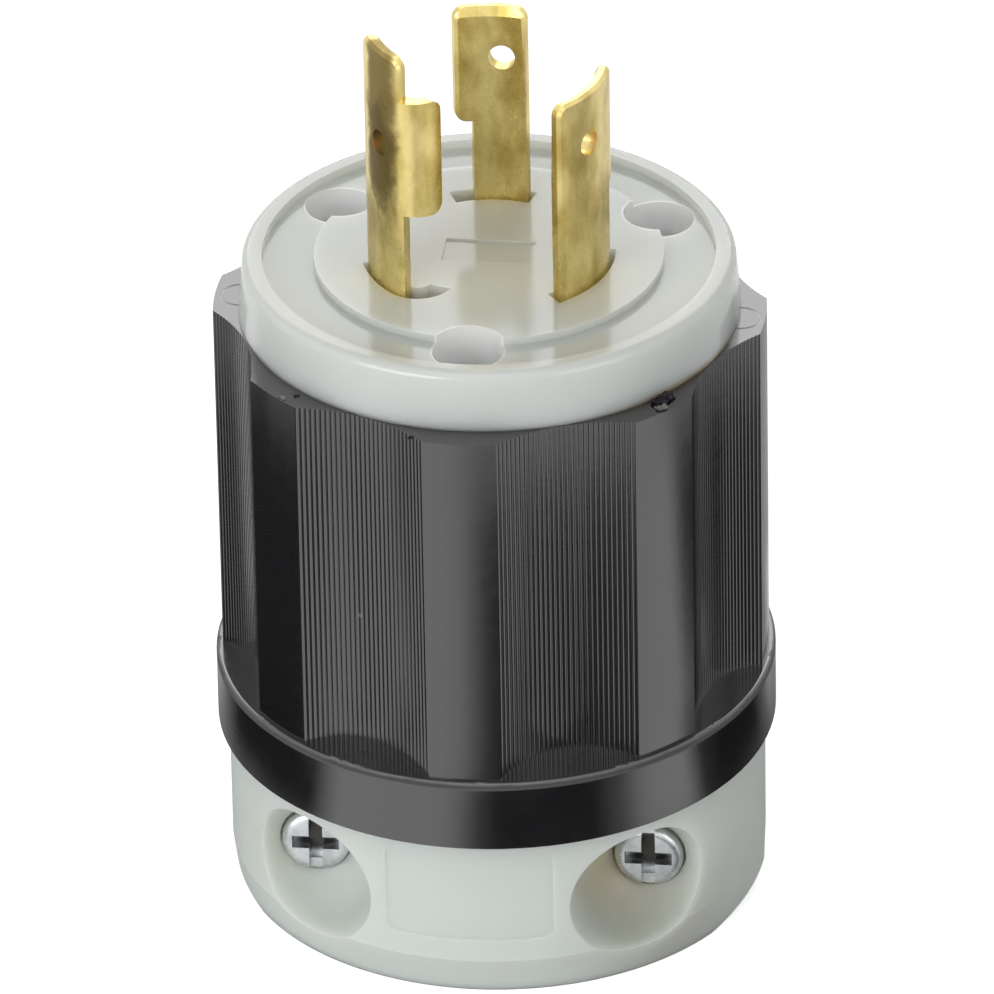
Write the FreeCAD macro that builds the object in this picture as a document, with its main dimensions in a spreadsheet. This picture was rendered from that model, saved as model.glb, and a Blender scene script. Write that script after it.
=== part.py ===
import FreeCAD
import Part
import Sketcher
import math
import os
import re

os.makedirs("parts", exist_ok=True)
doc = FreeCAD.newDocument("LockingPlug")

# Driving dimensions in millimetres and degrees. The plug stands on its cord end, blades up.
# Z is its axis, with 0 at the underside, and the clamp screw heads face -Y.
sizes = {
    # cord end
    "base_radius": 24.4,
    "base_height": 17.3,
    "base_floor": 4.2,
    "base_edge_in": 1.3,
    "base_edge_up": 1.7,
    "taper_in": 2.6,
    "taper_up": 4.7,
    "cord_bore_radius": 11.0,
    "cord_bore_flare": 1.2,
    "collar_height": 3.4,
    "collar_wall": 1.3,
    "snap_bead": 0.2,
    "snap_height": 1.2,
    "panel_sweep": 36.4,
    "panel_bottom": 6.9,
    "panel_top": 15.9,
    "panel_depth": 0.25,
    "panel_corner": 1.0,
    # cord clamp
    "clamp_spacing": 30.3,
    "clamp_axis_height": 9.65,
    "clamp_seat": 11.6,
    "clamp_bolt_radius": 2.08,
    "clamp_bolt_length": 27.0,
    "clamp_head_radius": 3.15,
    "clamp_head_height": 2.0,
    "scoop_seat_radius": 3.35,
    "scoop_radius": 6.15,
    "scoop_centre": 6.3,
    "jaw_height": 10.6,
    "jaw_arm_width": 8.2,
    "jaw_arm_length": 6.2,
    "jaw_bar_depth": 4.6,
    "jaw_hollow": 0.8,
    "jaw_tooth": 1.2,
    "jaw_tooth_depth": 1.6,
    "jaw_travel": 11.9,
    "nut_width": 7.0,
    "nut_depth": 3.0,
    # grip housing
    "flange_radius": 25.4,
    "flange_height": 6.8,
    "flange_round": 0.45,
    "grip_radius": 24.8,
    "grip_height": 34.8,
    "sleeve_radius": 20.3,
    "housing_floor": 2.5,
    "flange_wall": 1.8,
    "scallop_count": 8,
    "scallop_angle": 30.0,
    "scallop_depth": 2.2,
    "rib_count": 29,
    "rib_depth": 0.08,
    "boss_radius": 3.9,
    "boss_bore_depth": 11.0,
    # face
    "skirt_radius": 22.5,
    "skirt_draft": 0.45,
    "skirt_height": 5.6,
    "rim_width": 1.75,
    "rim_round": 0.9,
    "channel_depth": 0.85,
    "disc_radius": 15.65,
    "disc_drop": 0.1,
    "spigot_height": 3.0,
    "well_radius": 3.15,
    "well_floor": 2.6,
    "mark_width": 8.1,
    "mark_depth": 4.0,
    "mark_recess": 0.2,
    # terminal body and assembly screws
    "terminal_height": 20.0,
    "assembly_circle": 16.6,
    "assembly_angle": 30.0,
    "assembly_bolt_radius": 1.75,
    "assembly_bolt_length": 33.0,
    "assembly_head_radius": 3.0,
    "assembly_head_height": 2.2,
    # blades
    "blade_radius": 11.0,
    "blade_thickness": 1.3,
    "blade_hole_radius": 1.2,
    "blade_hole_height": 14.4,
    "blade_notch_height": 7.75,
    "blade_notch_angle": 9.0,
    "blade_corner": 1.2,
    "blade_edge": 0.3,
    "lead_in_depth": 0.45,
    "lead_in_height": 0.85,
    "blade_shank": 21.4,
    "blade_shoulder": 5.0,
    "shoulder_height": 2.5,
    "line_blade_height": 19.4,
    "line_1_angle": 89.9,
    "line_1_span": 28.25,
    "line_2_angle": 333.95,
    "line_2_span": 44.1,
    "line_hole_offset": -1.6,
    "ground_blade_height": 23.7,
    "ground_angle": 211.5,
    "ground_span": 29.0,
    "ground_hole_offset": 5.6,
    "ground_bend_radius": 2.2,
    "ground_edge_sweep": 27.0,
    "ground_tab_sweep": 105.0,
    "ground_tab_bottom": 8.1,
    "ground_tab_top": 19.5,
    # terminals
    "terminal_drop": 16.0,
    "terminal_bolt_radius": 2.08,
    "terminal_bolt_length": 3.6,
    "terminal_head_radius": 3.4,
    "terminal_head_height": 2.2,
    "window_radius": 4.1,
    "wire_gap": 0.9,
    "plate_thickness": 1.2,
    "plate_span": 40.0,
    "plate_height": 7.4,
    # screw drives and clearances
    "slot_width": 1.2,
    "slot_depth": 0.9,
    "cross_span": 4.3,
    "cross_width": 1.25,
    "cross_depth": 1.7,
    "head_round": 0.8,
    "screw_tip": 0.6,
    "thread_gap": 0.04,
    "pass_gap": 0.3,
    "seat_gap": 0.1,
    "slot_gap": 0.35,
}

sheet = doc.addObject("Spreadsheet::Sheet", "Sizes")
for row, (title, value) in enumerate(sizes.items(), 1):
    sheet.set(f"A{row}", title)
    sheet.set(f"B{row}", str(value))
    sheet.setAlias(f"B{row}", title)
doc.recompute()

# Levels up the plug, each the sum of the sizes below it
FLANGE_TOP = "(base_height + flange_height)"
FLOOR_BOTTOM = "(base_height + collar_height + seat_gap)"
FLOOR_TOP = "(base_height + collar_height + seat_gap + housing_floor)"
GRIP_TOP = "(base_height + flange_height + grip_height)"
RIM_TOP = "(base_height + flange_height + grip_height + skirt_height)"
DISC_TOP = "(base_height + flange_height + grip_height + skirt_height - disc_drop)"
FACE_BOTTOM = "(base_height + flange_height + grip_height - spigot_height)"
TERMINAL_BOTTOM = "(base_height + flange_height + grip_height - spigot_height - terminal_height)"
WELL_SEAT = "(base_height + flange_height + grip_height - spigot_height + well_floor)"
TERMINAL_LEVEL = (
    "(base_height + flange_height + grip_height + skirt_height - disc_drop - terminal_drop)")
BLADE_INNER = "(blade_radius - blade_thickness)"
PLATE_OUTER = "(blade_radius - blade_thickness - wire_gap)"
SLOT_SPREAD = "(slot_gap / blade_radius * 180 / pi)"
NEAR = 0.01
# One rib in section: shares of its width, each with the share of its depth there
RIB_PROFILE = [(0.0, 1.0), (0.12, 0.4), (0.34, 0.0), (0.66, 0.0), (0.88, 0.4)]
X_AXIS = FreeCAD.Vector(1, 0, 0)
Y_AXIS = FreeCAD.Vector(0, 1, 0)
Z_AXIS = FreeCAD.Vector(0, 0, 1)


def size(title):
    return float(getattr(sheet, title))


def cells(text):
    # Puts the sheet's name before each size named in an expression
    return re.sub(r"[a-z][a-z_0-9]*", lambda m: "Sizes." * (m.group() in sizes) + m.group(), text)


def bind(item, **expressions):
    # Ties properties to sizes; an underscore in the key stands for a point in the path
    for key, text in expressions.items():
        item.setExpression(key.replace("_", "."), cells(text))
    return item


def new_body(title):
    body = doc.addObject("PartDesign::Body", title)
    body.Label = title
    return body


def origin_item(body, role):
    return next(item for item in body.Origin.OriginFeatures if item.Role == role)


def new_sketch(body, title, role="XY_Plane", height="0"):
    sketch = body.newObject("Sketcher::SketchObject", title)
    sketch.AttachmentSupport = [(origin_item(body, role), "")]
    sketch.MapMode = "FlatFace"
    sketch.setExpression("AttachmentOffset.Base.z", cells(height))
    return sketch


def pin(sketch, geometry, point, across, up, start):
    # Holds one point of the geometry at a place given by two expressions
    for kind, text, value in (("DistanceX", across, start.x), ("DistanceY", up, start.y)):
        index = sketch.addConstraint(Sketcher.Constraint(kind, -1, 1, geometry, point, value))
        sketch.setExpression(f"Constraints[{index}]", cells(text))


def outline(sketch, corners):
    # Closed run of straight lines through corners given as pairs of expressions
    first = sketch.GeometryCount
    count = len(corners)
    turn = 2 * math.pi / count
    starts = [FreeCAD.Vector(9 * math.cos(turn * i), 9 * math.sin(turn * i), 0) for i in range(count)]
    for i in range(count):
        sketch.addGeometry(Part.LineSegment(starts[i], starts[(i + 1) % count]))
    for i in range(count):
        joint = Sketcher.Constraint("Coincident", first + i, 2, first + (i + 1) % count, 1)
        sketch.addConstraint(joint)
    for i, (across, up) in enumerate(corners):
        pin(sketch, first + i, 1, across, up, starts[i])


def circle(sketch, across, up, radius):
    start = FreeCAD.Vector(2, 1, 0)
    index = sketch.addGeometry(Part.Circle(start, Z_AXIS, 1))
    pin(sketch, index, 3, across, up, start)
    limit = sketch.addConstraint(Sketcher.Constraint("Radius", index, 1.0))
    sketch.setExpression(f"Constraints[{limit}]", cells(radius))


def box_outline(sketch, left, right, low, high):
    outline(sketch, [(left, low), (right, low), (right, high), (left, high)])


def pad(body, sketch, length):
    feature = body.newObject("PartDesign::Pad", sketch.Name + "_pad")
    feature.Profile = sketch
    return bind(feature, Length=length)


def pocket(body, sketch, length, reverse=False):
    feature = body.newObject("PartDesign::Pocket", sketch.Name + "_pocket")
    feature.Profile = sketch
    feature.Reversed = reverse
    return bind(feature, Length=length)


def revolve(body, sketch, kind="Revolution"):
    feature = body.newObject("PartDesign::" + kind, sketch.Name + "_turn")
    feature.Profile = sketch
    feature.ReferenceAxis = (sketch, ["V_Axis"])
    feature.Angle = 360.0
    return feature


def round_edges(body, title, radius, wanted):
    # Rounds the edges of the body's tip that the wanted test picks
    doc.recompute()
    tip = body.Tip
    names = [f"Edge{i}" for i, edge in enumerate(tip.Shape.Edges, 1) if wanted(edge)]
    feature = body.newObject("PartDesign::Fillet", title)
    feature.Base = (tip, names)
    return bind(feature, Radius=radius)


def is_ring(edge, radius, level):
    # True for a circular edge of this radius at this level
    if not isinstance(edge.Curve, Part.Circle):
        return False
    centre = edge.Curve.Center
    return abs(edge.Curve.Radius - radius) < NEAR and abs(centre.z - level) < NEAR


def cylinder(title, radius, height, level="0", across="0", deep="0", angle=None, start=None):
    solid = doc.addObject("Part::Cylinder", title)
    bind(solid, Radius=radius, Height=height)
    bind(solid, Placement_Base_x=across, Placement_Base_y=deep, Placement_Base_z=level)
    if angle:
        bind(solid, Angle=angle, Placement_Rotation_Angle=start)
    return solid


def joined(title, solids):
    whole = doc.addObject("Part::MultiFuse", title)
    whole.Shapes = solids
    return whole


def cut(title, whole, tool):
    result = doc.addObject("Part::Cut", title)
    result.Base = whole
    result.Tool = tool
    return result


def sector(title, inner, outer, start, sweep, level, height, across="0", deep="0"):
    # Part of a ring about a vertical axis
    whole = cylinder(title + "_outer", outer, height, level, across, deep, sweep, start)
    hollow = cylinder(title + "_inner", inner, height, level, across, deep)
    return cut(title, whole, hollow)


def face_outward(item, start, level, turn="0"):
    # Lays an upright item down, so that it points away from the plug's axis at an angle from +X
    item.Placement.Rotation = FreeCAD.Rotation(Y_AXIS, 90)
    bind(item, Placement_Rotation_Axis_x=f"-sin({turn})", Placement_Rotation_Axis_y=f"cos({turn})")
    return bind(item, Placement_Base_x=f"({start}) * cos({turn})",
                Placement_Base_y=f"({start}) * sin({turn})", Placement_Base_z=level)


def radial_cylinder(title, radius, start, length, level, turn="0"):
    return face_outward(cylinder(title, radius, length), start, level, turn)


def screw_body(title, shank, length, head, head_height, slotted=True):
    # Pan-head machine screw standing on its tip along +Z, seat of the head at 0
    body = new_body(title)
    section = new_sketch(body, title + "_section", "XZ_Plane")
    outline(section, [
        ("0", "-" + length),
        (shank + " - screw_tip", "-" + length),
        (shank, "-" + length + " + screw_tip"),
        (shank, "0"),
        (head, "0"),
        (head, head_height),
        ("0", head_height)])
    revolve(body, section)
    doc.recompute()
    head_size = size(head)
    top = size(head_height)
    round_edges(body, title + "_round", "head_round", lambda edge: is_ring(edge, head_size, top))
    cross = new_sketch(body, title + "_cross", "XY_Plane", head_height)
    reach = "cross_span / 2"
    half = "cross_width / 2"
    outline(cross, [
        ("-" + reach, "-" + half), ("-" + half, "-" + half), ("-" + half, "-" + reach),
        (half, "-" + reach), (half, "-" + half), (reach, "-" + half),
        (reach, half), (half, half), (half, reach),
        ("-" + half, reach), ("-" + half, half), ("-" + reach, half)])
    pocket(body, cross, "cross_depth")
    if slotted:
        slot = new_sketch(body, title + "_slot", "XY_Plane", head_height)
        box_outline(slot, "-slot_width / 2", "slot_width / 2", "-" + head, head)
        pocket(body, slot, "slot_depth")
    return body


# Grip housing: a turned sleeve with a floor, then eight ribbed scallops cut down its side
def grip_housing():
    body = new_body("grip_housing")
    section = new_sketch(body, "grip_section", "XZ_Plane")
    recess = "flange_radius - flange_wall"
    groove = "flange_radius - flange_wall + snap_bead + seat_gap"
    groove_low = "base_height + snap_height - seat_gap"
    groove_high = "base_height + snap_height * 2 + seat_gap"
    outline(section, [
        (recess, "base_height"),
        ("flange_radius", "base_height"),
        ("flange_radius", FLANGE_TOP),
        ("grip_radius", FLANGE_TOP),
        ("grip_radius", GRIP_TOP),
        ("sleeve_radius", GRIP_TOP),
        ("sleeve_radius", FLOOR_TOP),
        ("cord_bore_radius", FLOOR_TOP),
        ("cord_bore_radius", FLOOR_BOTTOM),
        (recess, FLOOR_BOTTOM),
        (recess, groove_high),
        (groove, groove_high),
        (groove, groove_low),
        (recess, groove_low)])
    revolve(body, section)
    rim = size("flange_radius")
    top = size("base_height") + size("flange_height")
    round_edges(body, "grip_flange_round", "flange_round", lambda edge: is_ring(edge, rim, top))

    # Bosses that carry the terminal body and take the assembly screws
    bosses = new_sketch(body, "grip_bosses", "XY_Plane", FLOOR_TOP)
    bores = new_sketch(body, "grip_bores", "XY_Plane", TERMINAL_BOTTOM)
    for k in range(3):
        around = f"(assembly_angle + {120 * k})"
        across = f"assembly_circle * cos({around})"
        deep = f"assembly_circle * sin({around})"
        circle(bosses, across, deep, "boss_radius")
        circle(bores, across, deep, "assembly_bolt_radius + thread_gap")
    pad(body, bosses, f"{TERMINAL_BOTTOM} - {FLOOR_TOP}")
    pocket(body, bores, "boss_bore_depth")

    # One scallop: a hollow arc whose floor is a run of low rounded ribs side by side
    scallop = new_sketch(body, "grip_scallop", "XY_Plane", GRIP_TOP)
    half = math.radians(size("scallop_angle") / 2)
    middle = math.pi / size("scallop_count")
    edge_in = size("grip_radius") * math.cos(half)
    edge_side = size("grip_radius") * math.sin(half)
    sag = edge_in - (size("grip_radius") - size("scallop_depth"))
    hollow_radius = (edge_side ** 2 + sag ** 2) / (2 * sag)
    hollow_centre = edge_in - sag + hollow_radius
    hollow_half = math.asin(edge_side / hollow_radius)
    ribs = int(size("rib_count"))
    steps = [(i + share, low) for i in range(ribs) for share, low in RIB_PROFILE]
    points = []
    for step, low in steps + [(ribs, 1.0)]:
        around = hollow_half * (2 * step / ribs - 1)
        reach = hollow_radius + size("rib_depth") * low
        across = hollow_centre - reach * math.cos(around)
        side = reach * math.sin(around)
        points.append(FreeCAD.Vector(across, side, 0))
    clear = size("flange_radius")
    points.append(FreeCAD.Vector(clear, edge_side, 0))
    points.append(FreeCAD.Vector(clear, -edge_side, 0))
    turn = FreeCAD.Rotation(Z_AXIS, math.degrees(middle))
    points = [turn.multVec(point) for point in points]
    for i, point in enumerate(points):
        scallop.addGeometry(Part.LineSegment(point, points[(i + 1) % len(points)]))
    cut_scallop = pocket(body, scallop, "grip_height")
    pattern = body.newObject("PartDesign::PolarPattern", "grip_scallops")
    pattern.Originals = [cut_scallop]
    pattern.Axis = (origin_item(body, "Z_Axis"), [""])
    pattern.Angle = 360.0
    bind(pattern, Occurrences="scallop_count")
    body.Tip = pattern
    return body


# White face: skirt, rim, bare text channel, raised disc, screw wells and blade slots
def blade_face():
    body = new_body("blade_face_blank")
    section = new_sketch(body, "face_section", "XZ_Plane")
    channel_radius = "skirt_radius - skirt_draft - rim_width"
    outline(section, [
        ("0", FACE_BOTTOM),
        ("sleeve_radius - seat_gap", FACE_BOTTOM),
        ("sleeve_radius - seat_gap", GRIP_TOP),
        ("skirt_radius", GRIP_TOP),
        ("skirt_radius - skirt_draft", RIM_TOP),
        (channel_radius, RIM_TOP),
        (channel_radius, RIM_TOP + " - channel_depth"),
        ("disc_radius", RIM_TOP + " - channel_depth"),
        ("disc_radius", DISC_TOP),
        ("0", DISC_TOP)])
    revolve(body, section)
    outer = size("skirt_radius") - size("skirt_draft")
    level = disc_level() + size("disc_drop")
    round_edges(body, "face_rim_round", "rim_round", lambda edge: is_ring(edge, outer, level))
    wells = new_sketch(body, "face_wells", "XY_Plane", RIM_TOP)
    holes = new_sketch(body, "face_screw_holes", "XY_Plane", RIM_TOP)
    for k in range(3):
        around = f"(assembly_angle + {120 * k})"
        across = f"assembly_circle * cos({around})"
        deep = f"assembly_circle * sin({around})"
        circle(wells, across, deep, "well_radius")
        circle(holes, across, deep, "assembly_bolt_radius + pass_gap")
    pocket(body, wells, f"{RIM_TOP} - {WELL_SEAT}")
    pocket(body, holes, f"{RIM_TOP} - {FACE_BOTTOM}")
    mark = new_sketch(body, "face_mark", "XY_Plane", DISC_TOP)
    box_outline(mark, "-mark_width / 2", "mark_width / 2", "-mark_depth / 2", "mark_depth / 2")
    pocket(body, mark, "mark_recess")

    height = f"{RIM_TOP} - {FACE_BOTTOM}"
    inner = BLADE_INNER + " - slot_gap"
    outside = "blade_radius + slot_gap"
    slots = []
    for name in ("line_1", "line_2"):
        start = f"{name}_angle - {name}_span / 2 - {SLOT_SPREAD}"
        sweep = f"{name}_span + blade_notch_angle + 2 * {SLOT_SPREAD}"
        slots.append(sector(name + "_slot", inner, outside, start, sweep, FACE_BOTTOM, height))
    hook = ground_profile("ground_slot", FACE_BOTTOM, height, "slot_gap", "ground_tab_sweep")
    slots.append(bind(joined("ground_slot", hook), Placement_Rotation_Angle="ground_angle"))
    face = cut("blade_face", body, joined("face_slots", slots))
    face.Label = "blade_face"
    return face


# Plan form of the ground blade about +X: an arc of the blade circle, then a tight inward bend
def ground_profile(title, level, height, gap, sweep):
    spread = f"({gap} / blade_radius * 180 / pi)"
    inner = f"{BLADE_INNER} - {gap}"
    outer = f"blade_radius + {gap}"
    arc_sweep = f"ground_span + {spread}"
    arc = sector(title + "_arc", inner, outer, f"-ground_span / 2 - {spread}", arc_sweep, level, height)
    middle = "(blade_radius - blade_thickness / 2 - ground_bend_radius)"
    bend_inner = f"ground_bend_radius - blade_thickness / 2 - {gap}"
    bend_outer = f"ground_bend_radius + blade_thickness / 2 + {gap}"
    across = middle + " * cos(ground_span / 2)"
    deep = middle + " * sin(ground_span / 2)"
    turn = f"{sweep} + {gap} / ground_bend_radius * 180 / pi"
    bend = sector(title + "_bend", bend_inner, bend_outer, "ground_span / 2", turn, level, height,
                  across, deep)
    return [arc, bend]


def round_corners(title, strip, wanted, corner="blade_corner"):
    # Rounds the corners of a plain strip at the edges through its thickness
    doc.recompute()
    rounded = doc.addObject("Part::Fillet", title)
    rounded.Base = strip
    radius = size(corner)
    rounded.Edges = [(i, radius, radius) for i, edge in enumerate(strip.Shape.Edges, 1) if wanted(edge)]
    return rounded


def bevel_top(title, strip, level):
    # Bevels the inner and outer edges along the top of a strip
    doc.recompute()
    beveled = doc.addObject("Part::Chamfer", title)
    beveled.Base = strip
    bevel = size("blade_edge")
    low = level - size("blade_corner") - NEAR
    beveled.Edges = [
        (i, bevel, bevel) for i, edge in enumerate(strip.Shape.Edges, 1)
        if edge.BoundBox.ZMin > low and not is_line(edge)]
    return beveled


def is_line(edge):
    return isinstance(edge.Curve, (Part.Line, Part.LineSegment))


def is_through_edge(edge, level):
    # True for a short level edge through the blade's thickness at this height
    box = edge.BoundBox
    flat = abs(box.ZMin - level) < NEAR and abs(box.ZMax - level) < NEAR
    return flat and is_line(edge) and abs(edge.Length - size("blade_thickness")) < NEAR


def disc_level():
    total = size("base_height") + size("flange_height") + size("grip_height") + size("skirt_height")
    return total - size("disc_drop")


def blade_holes(title, offset):
    # The small hole near the top and the clearance hole for the terminal screw
    hole = radial_cylinder(title + "_hole", "blade_hole_radius", "0", "blade_radius * 2",
                           f"{DISC_TOP} + blade_hole_height", offset)
    passage = radial_cylinder(title + "_passage", "terminal_bolt_radius + pass_gap", "0",
                              "blade_radius * 2", TERMINAL_LEVEL)
    return joined(title + "_holes", [hole, passage])


# Line blade about +X: an arc of the blade circle, notched at one end, with a shank below
def line_blade(name, title):
    half = f"{name}_span / 2"
    shank = sector(title + "_shank", BLADE_INNER, "blade_radius", "-" + half, f"{name}_span",
                   f"{DISC_TOP} - blade_shank", "blade_shank + line_blade_height")
    wing = sector(title + "_wing", BLADE_INNER, "blade_radius", "-" + half,
                  f"{name}_span + blade_notch_angle",
                  f"{DISC_TOP} + blade_notch_height", "line_blade_height - blade_notch_height")
    shoulder = sector(title + "_shoulder", BLADE_INNER, "blade_radius",
                      f"-{half} - blade_shoulder", f"{name}_span + 2 * blade_shoulder",
                      f"{FACE_BOTTOM} - shoulder_height", "shoulder_height")
    strip = joined(title + "_strip", [shank, wing])
    strip.Refine = True
    top = disc_level() + size("line_blade_height")
    notch = disc_level() + size("blade_notch_height")
    wing_side = size("blade_radius") * math.sin(math.radians(size(name + "_span") / 2))

    def corner(edge):
        free = edge.BoundBox.YMax > wing_side + NEAR
        return is_through_edge(edge, top) or (free and is_through_edge(edge, notch))
    rounded = round_corners(title + "_corners", strip, corner)
    beveled = bevel_top(title + "_bevel", rounded, top)
    lead_in = doc.addObject("Part::Cone", title + "_lead_in")
    bind(lead_in, Radius1=BLADE_INNER, Radius2=BLADE_INNER + " + lead_in_depth",
         Height="lead_in_height", Placement_Base_z=f"{DISC_TOP} + line_blade_height - lead_in_height")
    entry = cut(title + "_entry", beveled, lead_in)
    whole = joined(title + "_whole", [entry, shoulder])
    blade = cut(title, whole, blade_holes(title, "line_hole_offset"))
    return bind(blade, Placement_Rotation_Angle=name + "_angle")


# Ground blade about +X: the longest, with a hooked tab bent in towards the plug's axis
def ground_blade():
    plain = ground_profile("ground_strip", f"{DISC_TOP} - blade_shank",
                           "blade_shank + ground_blade_height", "0", "ground_edge_sweep")
    hook = ground_profile("ground_tab", f"{DISC_TOP} + ground_tab_bottom",
                          "ground_tab_top - ground_tab_bottom", "0", "ground_tab_sweep")
    shoulder = sector("ground_shoulder", BLADE_INNER, "blade_radius",
                      "-ground_span / 2 - blade_shoulder", "ground_span + blade_shoulder",
                      f"{FACE_BOTTOM} - shoulder_height", "shoulder_height")
    strip = joined("ground_whole_strip", plain + hook)
    strip.Refine = True
    top = disc_level() + size("ground_blade_height")
    tab_levels = (disc_level() + size("ground_tab_bottom"), disc_level() + size("ground_tab_top"))
    inside = size("blade_radius") - size("ground_bend_radius")

    def corner(edge):
        free = edge.BoundBox.XMax < inside
        tab = free and any(is_through_edge(edge, height) for height in tab_levels)
        return is_through_edge(edge, top) or tab
    rounded = round_corners("ground_corners", strip, corner)
    beveled = bevel_top("ground_bevel", rounded, top)
    whole = joined("ground_whole", [beveled, shoulder])
    blade = cut("ground_blade", whole, blade_holes("ground", "ground_hole_offset"))
    return bind(blade, Placement_Rotation_Angle="ground_angle")


# Insulating block that holds the shanks, with a chamber and a driver window for each terminal
def terminal_body():
    block = cylinder("terminal_block", "sleeve_radius - pass_gap", "terminal_height", TERMINAL_BOTTOM)
    tools = []
    for k in range(3):
        around = f"(assembly_angle + {120 * k})"
        tools.append(cylinder(f"terminal_screw_hole_{k + 1}", "assembly_bolt_radius + pass_gap",
                              "terminal_height", TERMINAL_BOTTOM,
                              f"assembly_circle * cos({around})", f"assembly_circle * sin({around})"))
    inner = BLADE_INNER + " - slot_gap"
    outer = "blade_radius + slot_gap"
    depth = "shoulder_height + seat_gap"
    chamber_inner = PLATE_OUTER + " - plate_thickness - pass_gap"
    chamber_height = f"{TERMINAL_LEVEL} + plate_height / 2 + pass_gap - {TERMINAL_BOTTOM}"
    for name in ("line_1", "line_2", "ground"):
        reach = f"({name}_span / 2 + {SLOT_SPREAD})"
        if name == "ground":
            shank = ground_profile("ground_room", TERMINAL_BOTTOM, "terminal_height", "slot_gap",
                                   "ground_edge_sweep")
        else:
            shank = [sector(name + "_room", inner, outer, "-" + reach, f"2 * {reach}",
                            TERMINAL_BOTTOM, "terminal_height")]
        ledge = sector(name + "_ledge", inner, outer, f"-{reach} - blade_shoulder",
                       f"2 * ({reach} + blade_shoulder)", f"{FACE_BOTTOM} - {depth}", depth)
        chamber = sector(name + "_chamber", chamber_inner, outer,
                         "-plate_span / 2 - blade_shoulder / 2", "plate_span + blade_shoulder",
                         TERMINAL_BOTTOM, chamber_height)
        window = radial_cylinder(name + "_window", "window_radius", chamber_inner,
                                 "sleeve_radius", TERMINAL_LEVEL)
        cavity = joined(name + "_cavity", shank + [ledge, chamber, window])
        tools.append(bind(cavity, Placement_Rotation_Angle=name + "_angle"))
    return cut("terminal_body", block, joined("terminal_cuts", tools))


# Saddle that draws the wire up against the blade shank
def clamp_plate(name, title):
    plate = sector(title + "_strip", PLATE_OUTER + " - plate_thickness", PLATE_OUTER,
                   "-plate_span / 2", "plate_span",
                   f"{TERMINAL_LEVEL} - plate_height / 2", "plate_height")
    thread = radial_cylinder(title + "_thread", "terminal_bolt_radius + thread_gap", "0",
                             "blade_radius", TERMINAL_LEVEL)
    return bind(cut(title, plate, thread), Placement_Rotation_Angle=name + "_angle")


def terminal_screw(name, title):
    body = screw_body(title, "terminal_bolt_radius", "terminal_bolt_length",
                      "terminal_head_radius", "terminal_head_height")
    return face_outward(body, "blade_radius", TERMINAL_LEVEL, name + "_angle")


def assembly_screw(title, around):
    body = screw_body(title, "assembly_bolt_radius", "assembly_bolt_length",
                      "assembly_head_radius", "assembly_head_height", slotted=False)
    return bind(body, Placement_Base_x=f"assembly_circle * cos({around})",
                Placement_Base_y=f"assembly_circle * sin({around})", Placement_Base_z=WELL_SEAT)


# Cord end: a turned cup cut back front and rear, with the jaw slot, scoops and a bare panel
def cord_end():
    body = new_body("cord_end_blank")
    section = new_sketch(body, "base_section", "XZ_Plane")
    collar = "flange_radius - flange_wall - seat_gap"
    bead_low = "base_height + snap_height"
    bead_high = "base_height + snap_height * 2"
    outline(section, [
        ("cord_bore_radius + cord_bore_flare", "0"),
        ("base_radius - base_edge_in", "0"),
        ("base_radius", "base_edge_up"),
        ("base_radius", "base_height"),
        (collar, "base_height"),
        (collar, bead_low),
        (collar + " + snap_bead", bead_low),
        (collar, bead_high),
        (collar, "base_height + collar_height"),
        (collar + " - collar_wall", "base_height + collar_height"),
        (collar + " - collar_wall", "base_height"),
        ("cord_bore_radius", "base_height"),
        ("cord_bore_radius", "cord_bore_flare")])
    revolve(body, section)

    # Slot in which the jaw slides, open upwards and closed by the housing floor
    slot = new_sketch(body, "base_jaw_slot", "XY_Plane", "base_height")
    arm = "(clamp_spacing / 2 + jaw_arm_width / 2 + pass_gap)"
    front = "(cord_bore_radius - jaw_arm_length - jaw_travel - pass_gap)"
    middle = "(cord_bore_radius + pass_gap)"
    outline(slot, [
        ("-" + arm, front),
        (arm, front),
        (arm, middle),
        (middle, "cord_bore_radius + jaw_bar_depth + pass_gap"),
        ("-" + middle, "cord_bore_radius + jaw_bar_depth + pass_gap"),
        ("-" + arm, middle)])
    pocket(body, slot, "base_height - base_floor")

    # Clamp screw holes run from the front wall to a blind end behind the slot
    holes = new_sketch(body, "base_screw_holes", "XZ_Plane", "base_radius")
    for side in ("-", ""):
        circle(holes, side + "clamp_spacing / 2", "clamp_axis_height", "clamp_bolt_radius + pass_gap")
    pocket(body, holes, "base_radius - clamp_seat + clamp_bolt_length + pass_gap")

    panel = sector("base_panel", "base_radius - panel_depth", "base_radius + panel_depth",
                   "-90 - panel_sweep / 2", "panel_sweep", "panel_bottom",
                   "panel_top - panel_bottom")
    thickness = 2 * size("panel_depth")
    bare_panel = round_corners("base_panel_rounded", panel,
                               lambda edge: is_line(edge) and abs(edge.Length - thickness) < NEAR,
                               "panel_corner")
    cuts = [scoop("scoop_left", "-1"), scoop("scoop_right", "1"), bare_panel,
            taper("front_taper", "1", "180"), taper("rear_taper", "-1", "0")]
    return cut("cord_end", body, joined("base_cuts", cuts))


# Scoop round a clamp screw head: a round bowl on the screw's axis that opens through the wall
def scoop(title, side):
    seat = cylinder(title + "_seat", "scoop_seat_radius", "scoop_centre")
    mouth = cylinder(title + "_mouth", "scoop_radius", "base_radius - clamp_seat - scoop_centre",
                     "scoop_centre")
    bowl = doc.addObject("Part::Sphere", title + "_bowl")
    bind(bowl, Radius="scoop_radius", Placement_Base_z="scoop_centre")
    hollow = joined(title, [seat, mouth, bowl])
    hollow.Placement.Rotation = FreeCAD.Rotation(X_AXIS, 90)
    return bind(hollow, Placement_Base_x=side + " * clamp_spacing / 2", Placement_Base_y="-clamp_seat",
                Placement_Base_z="clamp_axis_height")


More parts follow.
